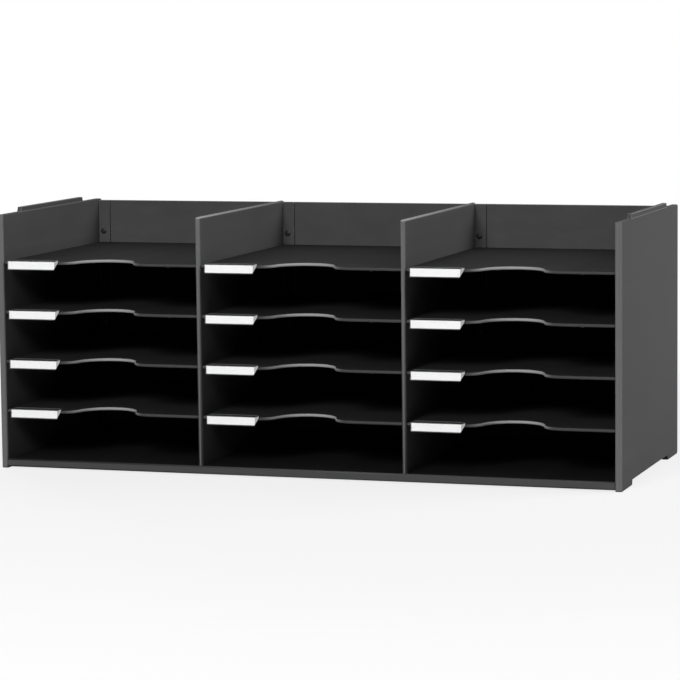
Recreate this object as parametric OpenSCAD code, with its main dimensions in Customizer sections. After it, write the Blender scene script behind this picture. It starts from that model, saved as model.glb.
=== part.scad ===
// Pigeonhole mail sorter: three columns of pull-out shelves between moulded panels, with an open top row,
// clip-on label holders, and tabs and recesses for stacking one unit on another.
// The origin is on the desk at the centre of the footprint. +X is right as seen from the front, the open
// front faces -Y and +Z is up. Lengths are in millimetres.

/* [Compartments] */
// Clear width of a compartment, from panel to panel
bay_w = 243; // [240:1:260]
// Clear height of a compartment, up to the front rim of the shelf above
bay_h = 55; // [40:0.5:80]
// Shelves in each column
shelf_rows = 4; // [2:1:4]
// Height of the open top row, from the top shelf to the top of the panels
top_h = 55; // [30:0.5:90]
// Depth of the unit, from the front edges to the rear edges of the side panels
unit_d = 308; // [285:1:360]

/* [Panels] */
// Thickness of a side panel
side_t = 7.5; // [6.5:0.5:10]
// Thickness of a divider
divider_t = 5; // [4:0.5:8]
// Rounding of the side panels' front edge, seen from above
side_nose_r = 2.75; // [0.5:0.25:3]
// Rounding of the dividers' front and top edges
divider_nose_r = 2; // [0.5:0.25:2.25]
// Corner radius of the panels, seen from the side
panel_corner_r = 3; // [1:0.5:8]
// Thickness of the back panel
back_t = 3; // [2:0.5:5]
// How far the back panel stops below the top of the other panels
back_drop = 2; // [1:0.5:20]
// How far the back panel sits in from the rear edges
back_inset = 2; // [2:0.5:6]
// Height of the stiffening rim along the back panel's top edge
back_rim_h = 5; // [3:0.5:10]
// Width of the rear flange that a panel is riveted by
flange_w = 14; // [11:0.5:20]
// Thickness of the rear flange
flange_t = 3; // [2:0.5:5]

/* [Stacking] */
// Height of the tab on top of a side panel
tab_h = 5.5; // [3:0.5:6]
// Length of the tab along its foot
tab_l = 192; // [120:1:210]
// How far the tab is set in from both faces of the panel, which is also the rounding of the panel's top edges
tab_inset = 1.25; // [0.5:0.25:2]
// How far each end of the tab and of the recess leans
tab_lean = 2; // [0.5:0.25:4]

/* [Base] */
// Height of the front lip above the desk
foot_h = 2; // [2:0.5:6]
// Height of the front lip
base_h = 9.5; // [8.5:0.5:14]
// Thickness of the base's floor
base_skin = 3; // [2:0.25:4]
// Thickness of the front lip and the end walls
base_wall = 4; // [3:0.5:6]
// Rounding of the front lip
lip_r = 1.75; // [0.5:0.25:2]
// Thickness of the ribs under the base
base_rib_t = 2; // [1.5:0.25:3]
// Ribs across the base from end to end
base_rib_count = 3; // [1:1:5]
// Diameter of the moulded pads under the dividers
pad_d = 24; // [16:1:32]
// Distance of each pad from the middle of the unit's depth
pad_y = 50; // [35:1:60]

/* [Joinery] */
// Reach of the base's dovetail tongue into the side panel
tongue_l = 3; // [2:0.25:3.5]
// Height of the tongue at its root
tongue_root = 2; // [1.5:0.25:2.5]
// Height of the tongue at its tip
tongue_tip = 3.2; // [2.75:0.1:3.5]
// Depth of the tongue's middle below the base's top
tongue_drop = 2.75; // [2.5:0.25:3]
// How far the tongue stops behind the front
tongue_setback = 15; // [8:1:40]
// Length of a divider's tenon
tenon_l = 36; // [20:1:44]
// Height of a tenon
tenon_h = 5; // [3:0.5:6]
// Spacing of the tenons along the depth
tenon_pitch = 100; // [90:1:110]
// Depth of the groove that the back panel stands in
groove_d = 4; // [2:0.5:5]

/* [Shelves] */
// Thickness of the shelf's plate
shelf_skin = 2.5; // [2:0.25:3]
// Height of the rolled front rim, which is the edge that shows
shelf_rim_h = 3.9; // [3:0.1:5]
// Width of the front rim, from its nose to its root
shelf_rim_w = 3.5; // [3:0.25:4]
// How far the front rim sits behind the panels' front edges
shelf_setback = 3.2; // [3:0.1:8]
// Radius of the shelf's rear corners
shelf_corner_r = 5; // [2:0.5:12]
// Height of the ribs under the plate
shelf_rib_h = 3; // [1:0.5:5]
// Thickness of the ribs under the plate
shelf_rib_t = 2; // [1:0.25:3]
// Spacing of the ribs that run from front to back
shelf_rib_pitch = 54; // [40:1:60]
// Ribs from front to back
shelf_rib_count = 4; // [2:1:4]
// Distance of the ribs' ends from the shelf's edges
shelf_rib_setback = 12; // [8:1:20]

/* [Finger scoop] */
// Radius of the scoop
scoop_r = 36; // [28:1:38]
// Depth of the scoop behind the shelf's front edge
scoop_d = 46; // [40:1:50]
// Radius that the scoop flares by at its mouth
scoop_flare_r = 24; // [18:1:26]
// Length by which the rim's arc stops short of its flares, which run on inside it
scoop_lap = 1; // [0.5:0.25:2]
// How far the rim's flares are set in below the surface of its straight runs and its arc
scoop_step = 0.05; // [0.04:0.01:0.1]

/* [Runners] */
// Width of the ledge that carries a shelf's edge
runner_w = 4; // [2.5:0.25:4]
// Height of the ledge
runner_h = 2.5; // [1.5:0.25:4]
// Distance of the ledge behind the front
runner_setback = 9; // [8.5:0.5:20]
// Length of the slope at the ledge's front end
runner_lead = 10; // [4:1:20]
// Height of the ledge at the tip of that slope
runner_tip = 1; // [0.5:0.25:1.5]

/* [Labels] */
// Gap from the compartment's left wall to the label holder
holder_x = 5; // [4.6:0.1:7]
// Length of the holder
holder_l = 59; // [40:1:61]
// Wall of the holder
holder_wall = 0.8; // [0.6:0.1:1]
// Reach of the holder's top leaf over the shelf
holder_reach = 14; // [6:0.5:18]
// Rise of the snap behind the shelf's front rim
snap_h = 0.6; // [0.3:0.1:0.8]
// Height of the label card
card_h = 9; // [6:0.1:14]
// Thickness of the label card
card_t = 0.5; // [0.3:0.1:0.6]
// Length of the card's pull tab, outside the holder
card_tab_l = 5.5; // [3:0.5:9]
// Rise of the pull tab above the card
card_tab_rise = 1.75; // [0.5:0.25:4]
// Height of the pull tab at its tip
card_tab_tip = 2.4; // [1:0.1:4]

/* [Rivets] */
// Diameter of a rivet's shank
rivet_d = 4; // [3:0.25:5]
// Diameter of a rivet's head
rivet_head_d = 7.5; // [6:0.25:9]
// Height of a rivet's head
rivet_head_h = 1.6; // [1:0.1:2.5]
// Height of the spread end behind the back panel
rivet_end_h = 1.5; // [1:0.1:2]
// Distance of a rivet from the face of its panel
rivet_in = 5.5; // [5:0.25:6.5]
// Height of a rivet above the floor of its compartment
rivet_lift = 14; // [8:0.5:24]

/* [Clearances] */
// Side play of a shelf, at each edge
slide_gap = 0.6; // [0.3:0.05:1]
// Gap behind a shelf that is pushed home
rear_gap = 0.5; // [0.3:0.1:2]
// Gap round tongues, tenons, grooves and rivets
fit_gap = 0.2; // [0.1:0.05:0.3]
// Gap round a label card in its holder
card_gap = 0.15; // [0.1:0.05:0.25]
// Gap above and at each end of a stacking tab in its recess
stack_gap = 0.5; // [0.3:0.1:2]

/* [Hidden] */
$fn = 64;
column_names = ["left", "middle", "right"];
columns = len(column_names);
charcoal = [0.22, 0.22, 0.225];
black = [0.11, 0.11, 0.115];
clear = [0.9, 0.93, 0.95, 0.35];
white = [0.97, 0.97, 0.96];

// Across the width
inner_w = columns * bay_w + (columns - 1) * divider_t;
bay_pitch = bay_w + divider_t;
shelf_w = bay_w - 2 * slide_gap;

// From front to back
front_y = -unit_d / 2;
rear_y = unit_d / 2;
back_rear_y = rear_y - back_inset;
back_front_y = back_rear_y - back_t;
flange_front_y = back_front_y - flange_t;
shelf_front_y = front_y + shelf_setback;
shelf_d = flange_front_y - rear_gap - shelf_front_y;
runner_y = front_y + runner_setback;

// From the desk up
base_top = foot_h + base_h;
shelf_pitch = bay_h + shelf_rim_h;
panel_top = base_top + shelf_rows * shelf_pitch + top_h;
back_top = panel_top - back_drop;
recess_h = tab_h + stack_gap;

// The scoop: an arc whose steep ends run into the front edge by a flare circle each, placed to a hundredth
scoop_y = scoop_d - scoop_r;
scoop_steep = acos((scoop_flare_r - scoop_y) / (scoop_r + scoop_flare_r));
scoop_flare_x = round(100 * (scoop_r + scoop_flare_r) * sin(scoop_steep)) / 100;
scoop_meet_y = round(100 * scoop_flare_r * (1 - cos(scoop_steep))) / 100;

// The rolled rim: its nose is half a circle, and the plate is rooted halfway along the flat behind it, or
// at the flares a quarter
rim_r = shelf_rim_h / 2;
rim_root = (rim_r + shelf_rim_w) / 2;
flare_root = (rim_r + rim_root) / 2;

// The label holder: a back wall, a slot for the card and a front window
slot_t = card_t + 2 * card_gap;
slot_h = card_h + 2 * card_gap;
holder_front = 2 * holder_wall + slot_t;
holder_left = holder_x - bay_w / 2;
holder_right = holder_left + holder_l;

function level(k) = base_top + k * shelf_pitch;
function bay_x(c) = (c - (columns - 1) / 2) * bay_pitch;
function divider_x(i) = bay_x(i) + bay_pitch / 2;
function piece_name(piece, c, r) = str(piece, "_", column_names[c], "_", r);

// A profile drawn in Y and Z, made t thick towards +X
module from_side(t) {
    rotate([90, 0, 90])
        linear_extrude(t)
            children();
}

// A profile drawn in X and Z, made l long towards -Y
module from_front(l) {
    rotate([90, 0, 0])
        linear_extrude(l)
            children();
}

// A rectangle whose corners are all rounded
module rounded_rect(size, r) {
    translate([r, 0])
        square([size.x - 2 * r, size.y]);
    translate([0, r])
        square([size.x, size.y - 2 * r]);
    for (x = [r, size.x - r], y = [r, size.y - r])
        translate([x, y])
            circle(r);
}

// A panel in section across its edge: t thick about x = 0, l deep from y = 0, where the edge is rounded
module nose_plan(t, l, nose_r) {
    r = min(nose_r, 0.45 * t);
    translate([-t / 2, r])
        square([t, l - r]);
    translate([r - t / 2, 0])
        square([t - 2 * r, r]);
    for (x = [r - t / 2, t / 2 - r])
        translate([x, r])
            circle(r);
}

// A bar with leaning ends, l long at its foot and h high, about y = 0
module leaning_bar(l, h) {
    polygon([[-l / 2, 0], [l / 2, 0], [l / 2 - tab_lean, h], [tab_lean - l / 2, h]]);
}

// Where a panel's rivets go: one above the base and one above every second shelf
module at_rivets(x) {
    for (k = [0 : 2 : shelf_rows])
        translate([x, flange_front_y, level(k) + rivet_lift])
            rotate([-90, 0, 0])
                children();
}

module rivet_holes(x) {
    at_rivets(x)
        cylinder(d = rivet_d + 2 * fit_gap, h = flange_t + back_t);
}

// The rear flange of a panel whose face is at x = 0, with its root inside the panel
module flange(root) {
    translate([-root, flange_front_y, base_top])
        cube([root + flange_w, flange_t, back_top - base_top]);
}

// The ledges on a panel's face at x = 0, one for each shelf, with their roots inside the panel
module runners(root) {
    for (k = [1 : shelf_rows]) {
        ledge_z = level(k) - shelf_skin;
        translate([-root, 0, 0])
            from_side(root + runner_w)
                polygon([
                    [runner_y, ledge_z - runner_tip],
                    [runner_y + runner_lead, ledge_z - runner_h],
                    [flange_front_y + flange_t / 2, ledge_z - runner_h],
                    [flange_front_y + flange_t / 2, ledge_z],
                    [runner_y, ledge_z]
                ]);
    }
}

// The dovetail of the base's end, drawn in X and Z about its middle, with its root at x = 0
module tongue_profile(gap) {
    root = tongue_root / 2 + gap;
    tip = tongue_tip / 2 + gap;
    translate([-base_wall / 2, -root])
        square([base_wall / 2, 2 * root]);
    polygon([[0, -root], [tongue_l + gap, -tip], [tongue_l + gap, tip], [0, root]]);
}

// The left side panel, with its inner face at x = 0
module side_panel() {
    color(charcoal)
        difference() {
            union() {
                intersection() {
                    translate([-side_t, 0, 0])
                        from_side(side_t)
                            side_outline();
                    translate([-side_t / 2, front_y, 0])
                        linear_extrude(panel_top)
                            nose_plan(side_t, unit_d, side_nose_r);
                    translate([-side_t / 2, rear_y, panel_top])
                        from_front(unit_d)
                            mirror([0, 1])
                                nose_plan(side_t, panel_top, tab_inset);
                }
                translate([tab_inset - side_t, 0, panel_top])
                    from_side(side_t - 2 * tab_inset) {
                        leaning_bar(tab_l, tab_h);
                        translate([-tab_l / 2, -tab_h])
                            square([tab_l, tab_h]);
                    }
                flange(side_t / 2);
                runners(side_t / 2);
            }
            rivet_holes(rivet_in);
            translate([0, rear_y, base_top - tongue_drop])
                mirror([1, 0, 0])
                    from_front(unit_d - tongue_setback + fit_gap)
                        tongue_profile(fit_gap);
        }
}

// A side panel seen from the side, with two feet and the recess for the tab of the unit below
module side_outline() {
    difference() {
        translate([front_y, 0])
            rounded_rect([unit_d, panel_top], panel_corner_r);
        leaning_bar(tab_l + 2 * stack_gap + 2 * tab_lean, recess_h);
    }
}

module left_side_panel() {
    translate([-inner_w / 2, 0, 0])
        side_panel();
}

module right_side_panel() {
    mirror([1, 0, 0])
        left_side_panel();
}

// A divider about x = 0, with its flange on the right
module divider() {
    color(charcoal)
        difference() {
            union() {
                intersection() {
                    translate([-divider_t / 2, 0, 0])
                        from_side(divider_t)
                            divider_outline();
                    translate([0, front_y, 0])
                        linear_extrude(panel_top)
                            nose_plan(divider_t, back_front_y - front_y, divider_nose_r);
                    translate([0, back_front_y, panel_top])
                        from_front(back_front_y - front_y)
                            mirror([0, 1])
                                nose_plan(divider_t, panel_top - base_top, divider_nose_r);
                }
                translate([divider_t / 2, 0, 0]) {
                    flange(divider_t / 2);
                    runners(divider_t / 2);
                }
                translate([-divider_t / 2, 0, 0])
                    mirror([1, 0, 0])
                        runners(divider_t / 2);
                tenons(0);
            }
            translate([divider_t / 2, 0, 0])
                rivet_holes(rivet_in);
        }
}

// A divider seen from the side: square at its foot, with rounded top corners
module divider_outline() {
    l = back_front_y - front_y;
    translate([front_y, base_top])
        square([l, panel_top - base_top - panel_corner_r]);
    translate([front_y, base_top])
        rounded_rect([l, panel_top - base_top], panel_corner_r);
}

// The tenons under a divider, with their roots inside it, or the mortises for them
module tenons(gap) {
    for (i = [-1 : 1])
        translate([-divider_t / 2 - gap, i * tenon_pitch - tenon_l / 2 - gap, base_top - tenon_h - gap])
            cube([divider_t + 2 * gap, tenon_l + 2 * gap, 2 * tenon_h + gap]);
}

module left_divider() {
    translate([divider_x(0), 0, 0])
        divider();
}

module right_divider() {
    translate([divider_x(1), 0, 0])
        divider();
}

module base_panel() {
    color(black)
        difference() {
            union() {
                translate([-inner_w / 2, 0, 0])
                    from_side(inner_w)
                        base_section();
                base_ribs();
                for (side = [0, 1])
                    mirror([side, 0, 0])
                        base_end();
            }
            for (i = [0 : columns - 2])
                translate([divider_x(i), 0, 0])
                    tenons(fit_gap);
            translate([-inner_w / 2, back_front_y - fit_gap, base_top - groove_d])
                cube([inner_w, back_t + 2 * fit_gap, groove_d]);
        }
}

// The base seen from the side: rounded front lip, floor, and the rear rail that holds the back panel
module base_section() {
    rail_y = flange_front_y - base_wall / 2;
    translate([front_y, foot_h])
        rounded_rect([base_wall, base_h], lip_r);
    translate([front_y + base_wall / 2, base_top - base_skin])
        square([unit_d - base_wall / 2, base_skin]);
    translate([rail_y, foot_h])
        square([rear_y - rail_y, base_h]);
}

// The right end of the base, with its wall and dovetail tongue
module base_end() {
    translate([inner_w / 2 - base_wall, front_y + base_wall / 2, foot_h])
        cube([base_wall, unit_d - base_wall / 2, base_h]);
    translate([inner_w / 2, flange_front_y, base_top - tongue_drop])
        from_front(flange_front_y - front_y - tongue_setback)
            tongue_profile(0);
}

// Ribs from end to end, a pair along each divider, and the pads that carry the dividers' load, all rooted in
// the floor
module base_ribs() {
    rib_h = base_h - base_skin / 2;
    for (i = [1 : base_rib_count])
        translate([-inner_w / 2, front_y + i * unit_d / (base_rib_count + 1) - base_rib_t / 2, foot_h])
            cube([inner_w, base_rib_t, rib_h]);
    for (i = [0 : columns - 2], side = [-1, 1])
        translate([divider_x(i), 0, 0]) {
            translate([side * (divider_t + base_rib_t) - base_rib_t / 2, front_y + base_wall / 2, foot_h])
                cube([base_rib_t, unit_d - base_wall, rib_h]);
            translate([0, side * pad_y, 0])
                cylinder(d = pad_d, h = foot_h + rib_h);
        }
}

module back_panel() {
    bottom = base_top - groove_d;
    w = inner_w - 2 * fit_gap;
    color(charcoal)
        difference() {
            union() {
                translate([-w / 2, back_front_y, bottom])
                    cube([w, back_t, back_top - bottom]);
                translate([-w / 2, back_front_y, back_top - back_rim_h])
                    cube([w, back_t + back_inset, back_rim_h]);
            }
            for (x = rivet_xs())
                rivet_holes(x);
        }
}

// The rivet lines: one on each panel's flange
function rivet_xs() = concat(
    [rivet_in - inner_w / 2, inner_w / 2 - rivet_in],
    [for (i = [0 : columns - 2]) divider_x(i) + divider_t / 2 + rivet_in]
);

module back_rivets() {
    color(black)
        for (x = rivet_xs())
            at_rivets(x)
                rivet();
}

// A push rivet along +Z, with the face under its head at z = 0
module rivet() {
    grip = flange_t + back_t;
    edge = rivet_head_h / 3;
    rotate_extrude()
        polygon([
            [0, -rivet_head_h],
            [rivet_head_d / 4, -rivet_head_h],
            [rivet_head_d / 2, -edge],
            [rivet_head_d / 2, 0],
            [rivet_d / 2, 0],
            [rivet_d / 2, grip],
            [rivet_head_d / 2 - edge, grip],
            [rivet_d / 2, grip + rivet_end_h],
            [0, grip + rivet_end_h]
        ]);
}

// The scoop in a shelf's plate, cut back to the root of the rim, with the shelf's front edge along y = 0
module scoop() {
    translate([0, scoop_y])
        circle(scoop_r + rim_root);
    difference() {
        translate([-scoop_flare_x, 0])
            square([2 * scoop_flare_x, scoop_meet_y]);
        for (side = [-1, 1])
            translate([side * scoop_flare_x, scoop_flare_r])
                circle(scoop_flare_r - flare_root);
    }
}

// A shelf's plate seen from above: cut back to the root of the rim, and rounded at the rear corners
module shelf_plan() {
    difference() {
        translate([-shelf_w / 2, rim_root]) {
            square([shelf_w, shelf_d - rim_root - shelf_corner_r]);
            rounded_rect([shelf_w, shelf_d - rim_root], shelf_corner_r);
        }
        scoop();
    }
}

// The ribs under a shelf: a row from front to back, one rib behind the scoop and one at the rear
module shelf_rib_plan() {
    reach = (shelf_rib_count - 1) * shelf_rib_pitch;
    rear = shelf_d - shelf_rib_setback - shelf_rib_t;
    difference() {
        for (i = [0 : shelf_rib_count - 1])
            translate([i * shelf_rib_pitch - (reach + shelf_rib_t) / 2, shelf_rib_setback])
                square([shelf_rib_t, rear + shelf_rib_t - shelf_rib_setback]);
        translate([0, scoop_y])
            circle(scoop_r + shelf_rib_setback);
    }
    for (y = [scoop_d + shelf_rib_setback, rear])
        translate([-(reach + shelf_rib_t) / 2, y])
            square([reach + shelf_rib_t, shelf_rib_t]);
}

// The rolled rim in section, with its nose at x = 0, its root towards +x and its top at y = 0, set in all round
module rim_section(inset) {
    translate([rim_r, -rim_r])
        circle(rim_r - inset);
    translate([rim_r, inset - shelf_rim_h])
        square([shelf_rim_w - inset - rim_r, shelf_rim_h - 2 * inset]);
}

// The rim along the front edge: a straight run and a flare at each side, and an arc round the scoop
module shelf_rim() {
    lap = scoop_lap * 180 / PI;
    flare_sweep = scoop_steep + 2 * lap / scoop_flare_r;
    arc_sweep = 2 * (scoop_steep - lap / scoop_r);
    for (side = [0, 1])
        mirror([side, 0, 0]) {
            translate([-shelf_w / 2, 0, 0])
                from_side(shelf_w / 2 - scoop_flare_x)
                    rim_section(0);
            translate([-scoop_flare_x, scoop_flare_r, 0])
                rotate([0, 0, -90])
                    rotate_extrude(angle = flare_sweep)
                        translate([scoop_flare_r, 0])
                            mirror([1, 0])
                                rim_section(scoop_step);
        }
    translate([0, scoop_y, 0])
        rotate([0, 0, 90 - arc_sweep / 2])
            rotate_extrude(angle = arc_sweep)
                translate([scoop_r, 0])
                    rim_section(0);
}

// A shelf about x = 0, with its front edge at y = 0 and its top at z = 0
module shelf() {
    color(black) {
        translate([0, 0, -shelf_skin])
            linear_extrude(shelf_skin)
                shelf_plan();
        shelf_rim();
        translate([0, 0, -shelf_skin - shelf_rib_h])
            linear_extrude(shelf_rib_h + shelf_skin / 2)
                shelf_rib_plan();
    }
}

// A label holder in its shelf's place: it clips over the front rim and snaps in behind it
module label_holder() {
    color(clear)
        translate([holder_left, 0, 0]) {
            from_side(holder_l)
                holder_section();
            translate([0, -holder_front, -slot_h])
                cube([holder_wall, holder_front, slot_h]);
        }
}

// The holder seen from its end
module holder_section() {
    snap_y = shelf_rim_w + fit_gap;
    translate([-holder_front, 0])
        square([holder_front + holder_reach, holder_wall]);
    for (y = [-holder_front, -holder_wall])
        translate([y, -slot_h - holder_wall])
            square([holder_wall, slot_h + 2 * holder_wall]);
    translate([-holder_front, -slot_h - holder_wall])
        square([holder_front, holder_wall]);
    translate([-holder_wall, -shelf_rim_h - holder_wall])
        square([holder_wall + snap_y + holder_wall, holder_wall]);
    translate([snap_y, -shelf_rim_h - holder_wall])
        square([holder_wall, holder_wall + snap_h]);
}

// A label card in its shelf's place, with a pull tab that stands out of the holder's open right end
module label_card() {
    left = holder_left + holder_wall + card_gap;
    tip_x = holder_right + card_tab_l;
    tip_z = card_tab_rise - card_gap;
    bottom = -card_gap - card_h;
    color(white)
        translate([0, -holder_wall - card_gap, 0])
            from_front(card_t)
                polygon([
                    [left, bottom],
                    [holder_right, bottom],
                    [tip_x, tip_z - card_tab_tip],
                    [tip_x, tip_z],
                    [holder_right + card_gap, -card_gap],
                    [left, -card_gap]
                ]);
}

// Puts a shelf, or what is on it, in its column and row, with row 1 at the top
module at_place(c, r) {
    translate([bay_x(c), shelf_front_y, level(shelf_rows + 1 - r)])
        children();
}

left_side_panel();
right_side_panel();
left_divider();
right_divider();
base_panel();
back_panel();
back_rivets();
for (c = [0 : columns - 1], r = [1 : shelf_rows]) {
    at_place(c, r) shelf();
    at_place(c, r) label_holder();
    at_place(c, r) label_card();
}
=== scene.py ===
"""Looks of the pigeonhole mail sorter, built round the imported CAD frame."""

import math

import bpy
from mathutils import Matrix, Vector

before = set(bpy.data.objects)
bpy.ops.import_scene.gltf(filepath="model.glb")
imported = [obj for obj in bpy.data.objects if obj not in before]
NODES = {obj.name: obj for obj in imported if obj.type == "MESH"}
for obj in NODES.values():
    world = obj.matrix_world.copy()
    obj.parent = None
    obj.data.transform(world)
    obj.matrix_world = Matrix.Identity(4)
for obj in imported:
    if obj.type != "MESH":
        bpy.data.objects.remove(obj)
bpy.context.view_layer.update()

# The camera that fits the photograph: angles in degrees, lengths in metres, lens and sensor in mm
CAMERA_AZIMUTH = 18.0
CAMERA_ELEVATION = 6.33
CAMERA_ROLL = -0.615
CAMERA_DISTANCE = 3.640
CAMERA_TARGET = (-0.00145, 0.0, 0.1456)
CAMERA_LENS = 160.97
CAMERA_SENSOR = 36.0
CAMERA_REACH = 30.0

# The world's strength on the object, and the lamps: name, azimuth and elevation in degrees,
# distance, width and height in metres, power in watts, and whether glossy surfaces mirror the lamp
AMBIENT = 0.03
LAMPS = (
    ("front", -1.0, 28.0, 3.2, 0.9, 0.9, 92.0, True),
    ("side", 108.0, 26.0, 3.0, 1.6, 1.6, 78.0, True),
    ("rear", 225.0, 7.0, 3.2, 1.0, 1.0, 100.0, False),
)
LAMP_TARGET = (0.0, 0.0, 0.15)

# The floor: lengths in metres, linear grey, and the share of plain white that the camera sees in it
FLOOR_RADIUS = 1.9
FLOOR_SIDES = 96
FLOOR_Z = -0.0003
FLOOR_FADE = (0.6, 1.7)
FLOOR_GREY = 0.60
FLOOR_GLOW = 0.8

# Places in the CAD frame that a material refers to, in metres
BAY_PITCH = 0.248
FRONT_Y = -0.154
REAR_Y = 0.154
SHELF_FRONT_Y = -0.1508
SCOOP_END_Y = -0.1048
PANEL_TOP = 0.3021
HOLDER_END_X = -0.0575

# Painted highlights and sheen, and the card's grey tab: how far from such a place each begins and
# how far it is full, in metres
FRONT_HIGHLIGHT = (0.0045, 0.0026)
LIP_SHEEN = (0.0030, 0.0018)
TOP_HIGHLIGHT = (0.0024, 0.0012)
SCOOP_HIGHLIGHT = (0.006, 0.0)
SCOOP_HIGHLIGHT_DEPTH = (0.002, 0.016)
TAB_FADE = 0.0012

# Painted highlights: the share of the top's left at the rear, and the upright part of the rim's
# normal where the rim's painted highlight begins and where it is full
TOP_HIGHLIGHT_AT_REAR = 0.2
RIM_UPRIGHT = (0.97, 0.75)

# Colours, linear
WHITE = (1.0, 1.0, 1.0, 1.0)
CHARCOAL = (0.065, 0.065, 0.067)
# The front and top greys are painted highlights on the front edges of panels and dividers and on
# the dividers' top edges
FRONT_HIGHLIGHT_GREY = (0.125, 0.125, 0.127)
TOP_HIGHLIGHT_GREY = (0.28, 0.28, 0.283)
BLACK = (0.015, 0.015, 0.0155)
BASE_BLACK = (0.006, 0.006, 0.0062)
# The rim and scoop greys are a painted highlight on the shelves' rims, paler round the finger
# scoop; the rim grey is also a painted sheen on the base's lip
RIM_HIGHLIGHT_GREY = (0.056, 0.056, 0.0572)
SCOOP_HIGHLIGHT_GREY = (0.30, 0.30, 0.303)
PAPER_WHITE = (0.88, 0.88, 0.875)
TAB_GREY = (0.36, 0.36, 0.36)
CLEAR_TINT = (0.93, 0.95, 0.96)
# The softened edges' colours are paler, partly as edge wear and partly as a painted highlight
PANEL_EDGE_WEAR_AND_HIGHLIGHT = 1.5
BLACK_EDGE_WEAR_AND_HIGHLIGHT = 1.6

# Moulded plastic: noise scales per metre, bump distances in metres
CLOUD_NOISE = {"Scale": 14.0, "Detail": 4.0, "Roughness": 0.6}
STREAK_STRETCH = (30.0, 4.0, 90.0)
STREAK_NOISE = {"Scale": 1.0, "Detail": 3.0}
STREAK_SHARE = 0.45
PLASTIC_TONES = ((0.3, 0.88), (0.55, 1.0), (0.75, 1.14))
PLASTIC_UNEVEN = (0.3, 0.7)
PLASTIC_GLOSS = (-0.05, 0.06)
PLASTIC_IOR = 1.5
GRAIN_NOISE = {"Scale": 1500.0, "Detail": 2.0, "Roughness": 0.7}
GRAIN_STRENGTH = 0.35
GRAIN_DISTANCE = 0.00006
EDGE_GRAIN = 0.4
SINK_NOISE = {"Scale": 22.0, "Detail": 1.0}
SINK_BUMP = {"Strength": 0.2, "Distance": 0.0004}

# Card and clear plastic, in the same units
FIBRE_STRETCH = (900.0, 900.0, 2400.0)
FIBRE_NOISE = {"Scale": 1.0, "Detail": 5.0}
FIBRE_TONES = ((0.3, 0.98), (0.7, 1.0))
FIBRE_BUMP = {"Strength": 0.12, "Distance": 0.00003}
CARD_FINISH = {"Roughness": 0.85, "Specular IOR Level": 0.3}
SCUFF_NOISE = {"Scale": 260.0, "Detail": 6.0, "Roughness": 0.7}
SCUFF_TONES = ((0.35, 0.96), (0.7, 1.0))
SCUFF_UNEVEN = (0.4, 0.75)
SCUFF_GLOSS = (0.08, 0.22)
CLEAR_FINISH = {"IOR": 1.49, "Alpha": 0.07}

# Edges: how far each is softened, the shortest that is, and how close corners are joined, in metres
PANEL_EDGE = 0.0004
RIVET_EDGE = 0.0002
HOLDER_EDGE = 0.00015
CARD_EDGE = 0.00008
SHELF_EDGE = 0.00002
SHORTEST_EDGE = 0.0008
SPLIT_CORNERS = 0.00001
BEVEL_CORNERS = 0.000004

# Edges: the angle above which one is sharp and below which faces are one, and how they are shaded
SHARP_ANGLE = math.radians(35.0)
FLAT_ANGLE = math.radians(0.5)
EDGE_SEGMENTS = 2
FLAT_WEIGHT = 100


def adder(tree):
    """A function that adds a node to the tree, with its inputs and settings.

    Shader nodes go by their short name, without ShaderNode, and the others by their whole one.
    """

    def add(kind, inputs=None, **settings):
        whole = kind.startswith(("Geometry", "NodeGroup"))
        made = tree.nodes.new(kind if whole else "ShaderNode" + kind)
        for key, value in settings.items():
            setattr(made, key, value)
        for key, value in (inputs or {}).items():
            if isinstance(value, bpy.types.NodeSocket):
                tree.links.new(value, made.inputs[key])
            else:
                made.inputs[key].default_value = value
        return made

    return add


def new_material(name):
    """An empty node material, and the function that adds a node to it."""
    material = bpy.data.materials.new(name)
    material.use_nodes = True
    material.node_tree.nodes.clear()
    return material, adder(material.node_tree)


def scaled(colour, factor):
    return tuple(channel * factor for channel in colour)


def toned(add, factor, colour, stops):
    """A colour ramp over factor, with stops of (place, share of the colour)."""
    made = add("ValToRGB", {"Fac": factor})
    elements = made.color_ramp.elements
    elements[0].position, elements[1].position = stops[0][0], stops[-1][0]
    for place, _ in stops[1:-1]:
        elements.new(place)
    for element, (_, share) in zip(elements, stops):
        element.color = (*scaled(colour, share), 1.0)
    return made.outputs["Color"]


def span(add, value, low, high, start=0.0, end=1.0):
    """Value mapped from low..high to start..end."""
    made = add(
        "MapRange",
        {"Value": value, "From Min": low, "From Max": high, "To Min": start, "To Max": end},
    )
    return made.outputs["Result"]


def product(add, value, other):
    return add("Math", {0: value, 1: other}, operation="MULTIPLY").outputs[0]


def blended(add, factor, colour, other):
    """Colour where factor is 0 and the other, a linear colour, where it is 1."""
    made = add("Mix", {"Factor": factor, "A": colour, "B": (*other, 1.0)}, data_type="RGBA")
    return made.outputs["Result"]


def painted_highlight_rim(add, parts, colour):
    """A shelf's colour with a painted highlight on its rolled rim, palest round the finger scoop.
    """
    facing = add("SeparateXYZ", {"Vector": add("NewGeometry").outputs["Normal"]})
    upright = add("Math", {0: facing.outputs["Z"]}, operation="ABSOLUTE")
    nose = span(add, upright.outputs[0], *RIM_UPRIGHT)
    near = span(add, parts.outputs["Y"], *(SCOOP_END_Y + reach for reach in SCOOP_HIGHLIGHT))
    deep = span(add, parts.outputs["Y"], *(SHELF_FRONT_Y + reach for reach in SCOOP_HIGHLIGHT_DEPTH))
    rim = blended(add, deep, (*RIM_HIGHLIGHT_GREY, 1.0), SCOOP_HIGHLIGHT_GREY)
    made = add("Mix", {"Factor": product(add, nose, near), "A": colour, "B": rim}, data_type="RGBA")
    return made.outputs["Result"]


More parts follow.
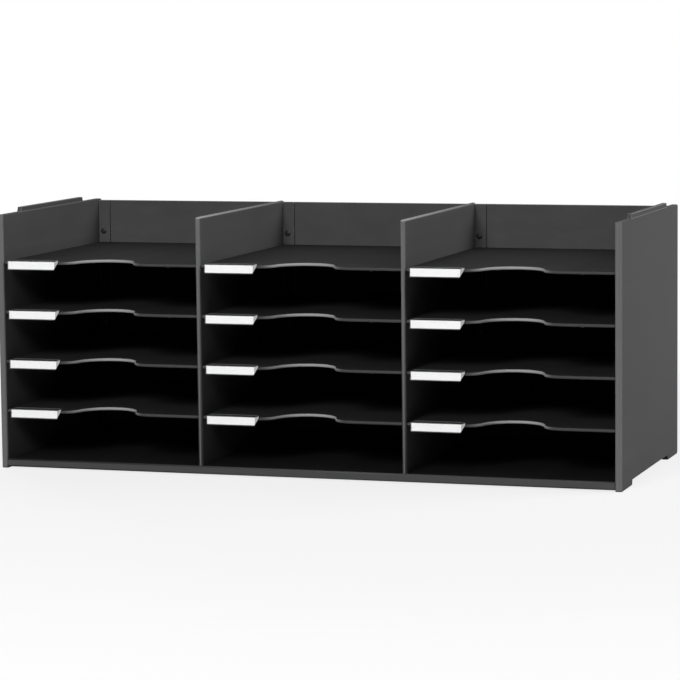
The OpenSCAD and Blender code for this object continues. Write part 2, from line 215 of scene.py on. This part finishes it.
def painted_highlight_lip(add, parts, colour):
    """The base's colour with a painted sheen on its front lip."""
    nose = span(add, parts.outputs["Y"], *(FRONT_Y + reach for reach in LIP_SHEEN))
    return blended(add, nose, colour, RIM_HIGHLIGHT_GREY)


def painted_highlight_front(add, parts, colour):
    """A panel's colour with a painted highlight on its front edge."""
    nose = span(add, parts.outputs["Y"], *(FRONT_Y + reach for reach in FRONT_HIGHLIGHT))
    return blended(add, nose, colour, FRONT_HIGHLIGHT_GREY)


def painted_highlight_front_and_top(add, parts, colour):
    """A divider's colour with painted highlights on its front and top edges, the top's fainter at
    the rear.
    """
    crest = span(add, parts.outputs["Z"], *(PANEL_TOP - reach for reach in TOP_HIGHLIGHT))
    ahead = span(add, parts.outputs["Y"], FRONT_Y, REAR_Y, 1.0, TOP_HIGHLIGHT_AT_REAR)
    return blended(add, product(add, crest, ahead), painted_highlight_front(add, parts, colour), TOP_HIGHLIGHT_GREY)


def moulded_plastic(name, colour, roughness, specular, grain=1.0, painted_highlight=None):
    """Injection-moulded plastic: a fine grain, faint flow streaks and slightly uneven gloss, with
    painted highlights where given.
    """
    material, add = new_material(name)
    place = add("TexCoord").outputs["Object"]
    stretched = add("Mapping", {"Vector": place, "Scale": STREAK_STRETCH})
    cloud = add("TexNoise", {"Vector": place, **CLOUD_NOISE})
    streak = add("TexNoise", {"Vector": stretched.outputs["Vector"], **STREAK_NOISE})
    fine = add("TexNoise", {"Vector": place, **GRAIN_NOISE})
    wave = add("TexNoise", {"Vector": place, **SINK_NOISE})
    mixed = add(
        "Mix",
        {"Factor": STREAK_SHARE, "A": cloud.outputs["Fac"], "B": streak.outputs["Fac"]},
        data_type="FLOAT",
    )
    uneven = mixed.outputs["Result"]
    tone = toned(add, uneven, colour, PLASTIC_TONES)
    # Painted highlights or sheen on edges, laid over the plastic's own tone
    if painted_highlight:
        tone = painted_highlight(add, add("SeparateXYZ", {"Vector": place}), tone)
    gloss = span(add, uneven, *PLASTIC_UNEVEN, *(roughness + change for change in PLASTIC_GLOSS))
    bump = add(
        "Bump",
        {
            "Strength": GRAIN_STRENGTH * grain,
            "Distance": GRAIN_DISTANCE,
            "Height": fine.outputs["Fac"],
        },
    )
    sink = add(
        "Bump",
        {**SINK_BUMP, "Height": wave.outputs["Fac"], "Normal": bump.outputs["Normal"]},
    )
    shader = add(
        "BsdfPrincipled",
        {
            "Base Color": tone,
            "Roughness": gloss,
            "Specular IOR Level": specular,
            "IOR": PLASTIC_IOR,
            "Normal": sink.outputs["Normal"],
        },
    )
    add("OutputMaterial", {"Surface": shader.outputs["BSDF"]})
    return material


def paper_card(name):
    """Uncoated white card with a faint fibre, and the pull tab coloured grey."""
    material, add = new_material(name)
    place = add("TexCoord").outputs["Object"]
    stretched = add("Mapping", {"Vector": place, "Scale": FIBRE_STRETCH})
    fibre = add("TexNoise", {"Vector": stretched.outputs["Vector"], **FIBRE_NOISE})
    tone = toned(add, fibre.outputs["Fac"], PAPER_WHITE, FIBRE_TONES)
    parts = add("SeparateXYZ", {"Vector": place})
    across = add(
        "Math",
        {0: parts.outputs["X"], 1: BAY_PITCH / 2, 2: -BAY_PITCH / 2},
        operation="WRAP",
    )
    tab = span(add, across.outputs[0], HOLDER_END_X, HOLDER_END_X + TAB_FADE)
    bump = add("Bump", {**FIBRE_BUMP, "Height": fibre.outputs["Fac"]})
    shader = add(
        "BsdfPrincipled",
        {
            **CARD_FINISH,
            "Base Color": blended(add, tab, tone, TAB_GREY),
            "Normal": bump.outputs["Normal"],
        },
    )
    add("OutputMaterial", {"Surface": shader.outputs["BSDF"]})
    return material


def clear_plastic(name):
    """Clear moulded plastic, seen through, with hairline scuffs."""
    material, add = new_material(name)
    place = add("TexCoord").outputs["Object"]
    scuff = add("TexNoise", {"Vector": place, **SCUFF_NOISE}).outputs["Fac"]
    tone = toned(add, scuff, CLEAR_TINT, SCUFF_TONES)
    gloss = span(add, scuff, *SCUFF_UNEVEN, *SCUFF_GLOSS)
    shader = add("BsdfPrincipled", {**CLEAR_FINISH, "Base Color": tone, "Roughness": gloss})
    add("OutputMaterial", {"Surface": shader.outputs["BSDF"]})
    return material


def new_group(name):
    """A node group that changes a mesh, the function that adds a node to it, and the mesh."""
    group = bpy.data.node_groups.new(name, "GeometryNodeTree")
    for way in ("INPUT", "OUTPUT"):
        group.interface.new_socket("Geometry", in_out=way, socket_type="NodeSocketGeometry")
    add = adder(group)
    return group, add, add("NodeGroupInput").outputs[0]


def plain_normals():
    """A node group that joins the CAD mesh's split corners and drops the normals it came with."""
    group, add, mesh = new_group("plain_normals")
    merge = add("GeometryNodeMergeByDistance", {"Geometry": mesh, "Distance": SPLIT_CORNERS})
    plain = add(
        "GeometryNodeSetMeshNormal",
        {"Mesh": merge.outputs["Geometry"], "Remove Custom": True},
    )
    add("NodeGroupOutput", {0: plain.outputs["Mesh"]})
    return group


def long_edges():
    """A node group that marks the sharp edges that are long enough to be softened."""
    group, add, mesh = new_group("long_edges")
    angle = add("GeometryNodeInputMeshEdgeAngle").outputs["Unsigned Angle"]
    ends = add("GeometryNodeInputMeshEdgeVertices").outputs
    length = add(
        "VectorMath",
        {0: ends["Position 1"], 1: ends["Position 2"]},
        operation="DISTANCE",
    )
    sharp = add("Math", {0: angle, 1: SHARP_ANGLE}, operation="GREATER_THAN")
    long = add(
        "Math",
        {0: length.outputs["Value"], 1: SHORTEST_EDGE},
        operation="GREATER_THAN",
    )
    mark = add(
        "GeometryNodeStoreNamedAttribute",
        {
            "Geometry": mesh,
            "Name": "bevel_weight_edge",
            "Value": product(add, sharp.outputs[0], long.outputs[0]),
        },
        domain="EDGE",
        data_type="FLOAT",
    )
    add("NodeGroupOutput", {0: mark.outputs["Geometry"]})
    return group


PLAIN_NORMALS = plain_normals()
LONG_EDGES = long_edges()


def dress(node, body, edge_material=None, edge=PANEL_EDGE, measure="OFFSET", only_long=False):
    """Gives a CAD node its material and softens its sharp edges, or only the long ones of them."""
    piece = NODES[node]
    piece.data.materials.clear()
    piece.data.materials.append(body)
    joined = piece.modifiers.new("plain_normals", "NODES")
    joined.node_group = PLAIN_NORMALS
    flat = piece.modifiers.new("whole_faces", "DECIMATE")
    flat.decimate_type = "DISSOLVE"
    flat.angle_limit = FLAT_ANGLE
    if only_long:
        marked = piece.modifiers.new("long_edges", "NODES")
        marked.node_group = LONG_EDGES
    soft = piece.modifiers.new("soft_edges", "BEVEL")
    soft.offset_type = measure
    soft.width = edge
    soft.segments = EDGE_SEGMENTS
    soft.limit_method = "WEIGHT" if only_long else "ANGLE"
    soft.angle_limit = SHARP_ANGLE
    soft.use_clamp_overlap = False
    if edge_material:
        piece.data.materials.append(edge_material)
        soft.material = 1
    if only_long:
        closed = piece.modifiers.new("joined_corners", "WELD")
        closed.merge_threshold = BEVEL_CORNERS
    shade = piece.modifiers.new("flat_shading", "WEIGHTED_NORMAL")
    shade.mode = "FACE_AREA"
    shade.weight = FLAT_WEIGHT
    shade.keep_sharp = False


def direction(azimuth, elevation):
    """The way out from the object, in degrees, where azimuth 0 is the front and 90 the right."""
    turn, lift = math.radians(azimuth), math.radians(elevation)
    level = math.cos(lift)
    return Vector((math.sin(turn) * level, -math.cos(turn) * level, math.sin(lift)))


def white_world():
    """A world that looks white, also in gloss and through clear pieces, and lights little."""
    world = bpy.data.worlds.new("studio")
    bpy.context.scene.world = world
    world.use_nodes = True
    world.node_tree.nodes.clear()
    add = adder(world.node_tree)
    rays = add("LightPath").outputs
    seen = add(
        "Math",
        {0: rays["Is Camera Ray"], 1: rays["Is Transmission Ray"]},
        operation="MAXIMUM",
    )
    shown = add("Math", {0: seen.outputs[0], 1: rays["Is Glossy Ray"]}, operation="MAXIMUM")
    ambient = add("Background", {"Strength": AMBIENT})
    white = add("Background", {"Color": WHITE, "Strength": 1.0})
    mix = add("MixShader", {0: shown.outputs[0], 1: ambient.outputs[0], 2: white.outputs[0]})
    add("OutputWorld", {"Surface": mix.outputs[0]})


def pale_floor():
    """A pale floor that takes the object's shadow and fades out."""
    material, add = new_material("floor_white")
    far = add("VectorMath", {0: add("TexCoord").outputs["Object"]}, operation="LENGTH")
    fade = add(
        "MapRange",
        {"Value": far.outputs["Value"], "From Min": FLOOR_FADE[0], "From Max": FLOOR_FADE[1]},
        interpolation_type="SMOOTHSTEP",
    )
    matte = add("BsdfDiffuse", {"Color": (FLOOR_GREY, FLOOR_GREY, FLOOR_GREY, 1.0)})
    seen = product(add, add("LightPath").outputs["Is Camera Ray"], FLOOR_GLOW)
    white = add("Emission", {"Color": WHITE, "Strength": 1.0})
    pale = add("MixShader", {0: seen, 1: matte.outputs["BSDF"], 2: white.outputs["Emission"]})
    gone = add("BsdfTransparent")
    mixed = add(
        "MixShader",
        {0: fade.outputs["Result"], 1: pale.outputs["Shader"], 2: gone.outputs["BSDF"]},
    )
    add("OutputMaterial", {"Surface": mixed.outputs["Shader"]})
    bpy.ops.mesh.primitive_circle_add(
        vertices=FLOOR_SIDES,
        radius=FLOOR_RADIUS,
        fill_type="NGON",
        location=(0.0, 0.0, FLOOR_Z),
    )
    floor = bpy.context.object
    floor.name = "floor"
    floor.data.materials.append(material)


def softbox(name, azimuth, elevation, distance, width, height, power, mirrored):
    """A soft lamp that faces the object from that side."""
    away = direction(azimuth, elevation)
    lamp = bpy.data.lights.new(name, "AREA")
    lamp.shape = "RECTANGLE"
    lamp.size, lamp.size_y = width, height
    lamp.energy = power
    box = bpy.data.objects.new(name, lamp)
    bpy.context.scene.collection.objects.link(box)
    box.location = Vector(LAMP_TARGET) + distance * away
    box.rotation_euler = away.to_track_quat("Z", "Y").to_euler()
    box.visible_glossy = mirrored


def photo_camera():
    """The camera at the photograph's viewing angle."""
    azimuth, roll = math.radians(CAMERA_AZIMUTH), math.radians(CAMERA_ROLL)
    away = direction(CAMERA_AZIMUTH, CAMERA_ELEVATION)
    right = Vector((math.cos(azimuth), math.sin(azimuth), 0.0))
    up = away.cross(right)
    rolled_right = math.cos(roll) * right + math.sin(roll) * up
    rolled_up = math.cos(roll) * up - math.sin(roll) * right
    data = bpy.data.cameras.new("camera")
    data.sensor_width = CAMERA_SENSOR
    data.lens = CAMERA_LENS
    data.clip_end = CAMERA_REACH
    camera = bpy.data.objects.new("camera", data)
    bpy.context.scene.collection.objects.link(camera)
    turned = Matrix((rolled_right, rolled_up, away)).transposed().to_4x4()
    place = Vector(CAMERA_TARGET) + CAMERA_DISTANCE * away
    camera.matrix_world = Matrix.Translation(place) @ turned
    bpy.context.scene.camera = camera


bpy.context.scene.view_settings.view_transform = "Standard"
panel = moulded_plastic(
    "charcoal_panel", CHARCOAL, roughness=0.6, specular=0.02, painted_highlight=painted_highlight_front
)
divider = moulded_plastic(
    "charcoal_divider", CHARCOAL, roughness=0.6, specular=0.02, painted_highlight=painted_highlight_front_and_top
)
back = moulded_plastic("charcoal_back", CHARCOAL, roughness=0.6, specular=0.02)
# Softened edges paler, partly as edge wear and partly as a painted highlight
panel_edge = moulded_plastic(
    "charcoal_edge",
    scaled(CHARCOAL, PANEL_EDGE_WEAR_AND_HIGHLIGHT),
    roughness=0.4,
    specular=0.3,
    grain=EDGE_GRAIN,
)
black = moulded_plastic("black_shelf", BLACK, roughness=0.75, specular=0.03, painted_highlight=painted_highlight_rim)
black_base = moulded_plastic(
    "black_base", BASE_BLACK, roughness=0.5, specular=0.12, painted_highlight=painted_highlight_lip
)
rivet_black = moulded_plastic("rivet_black", BASE_BLACK, roughness=0.5, specular=0.3)
# Softened edges paler, partly as edge wear and partly as a painted highlight
black_edge = moulded_plastic(
    "black_edge",
    scaled(BLACK, BLACK_EDGE_WEAR_AND_HIGHLIGHT),
    roughness=0.45,
    specular=0.25,
    grain=EDGE_GRAIN,
)
card = paper_card("white_card")
clear = clear_plastic("clear_holder")

for node in NODES:
    if node.startswith("shelf_"):
        dress(node, black, black_edge, edge=SHELF_EDGE)
    elif node == "base_panel":
        dress(node, black_base, black_edge, only_long=True)
    elif node.startswith("label_holder_"):
        dress(node, clear, edge=HOLDER_EDGE)
    elif node.startswith("label_card_"):
        dress(node, card, edge=CARD_EDGE)
    elif node == "back_rivets":
        dress(node, rivet_black, black_edge, edge=RIVET_EDGE)
    elif node.endswith("_divider"):
        dress(node, divider, panel_edge, measure="WIDTH", only_long=True)
    elif node == "back_panel":
        dress(node, back, panel_edge)
    else:
        dress(node, panel, panel_edge)

white_world()
pale_floor()
for lamp in LAMPS:
    softbox(*lamp)
photo_camera()
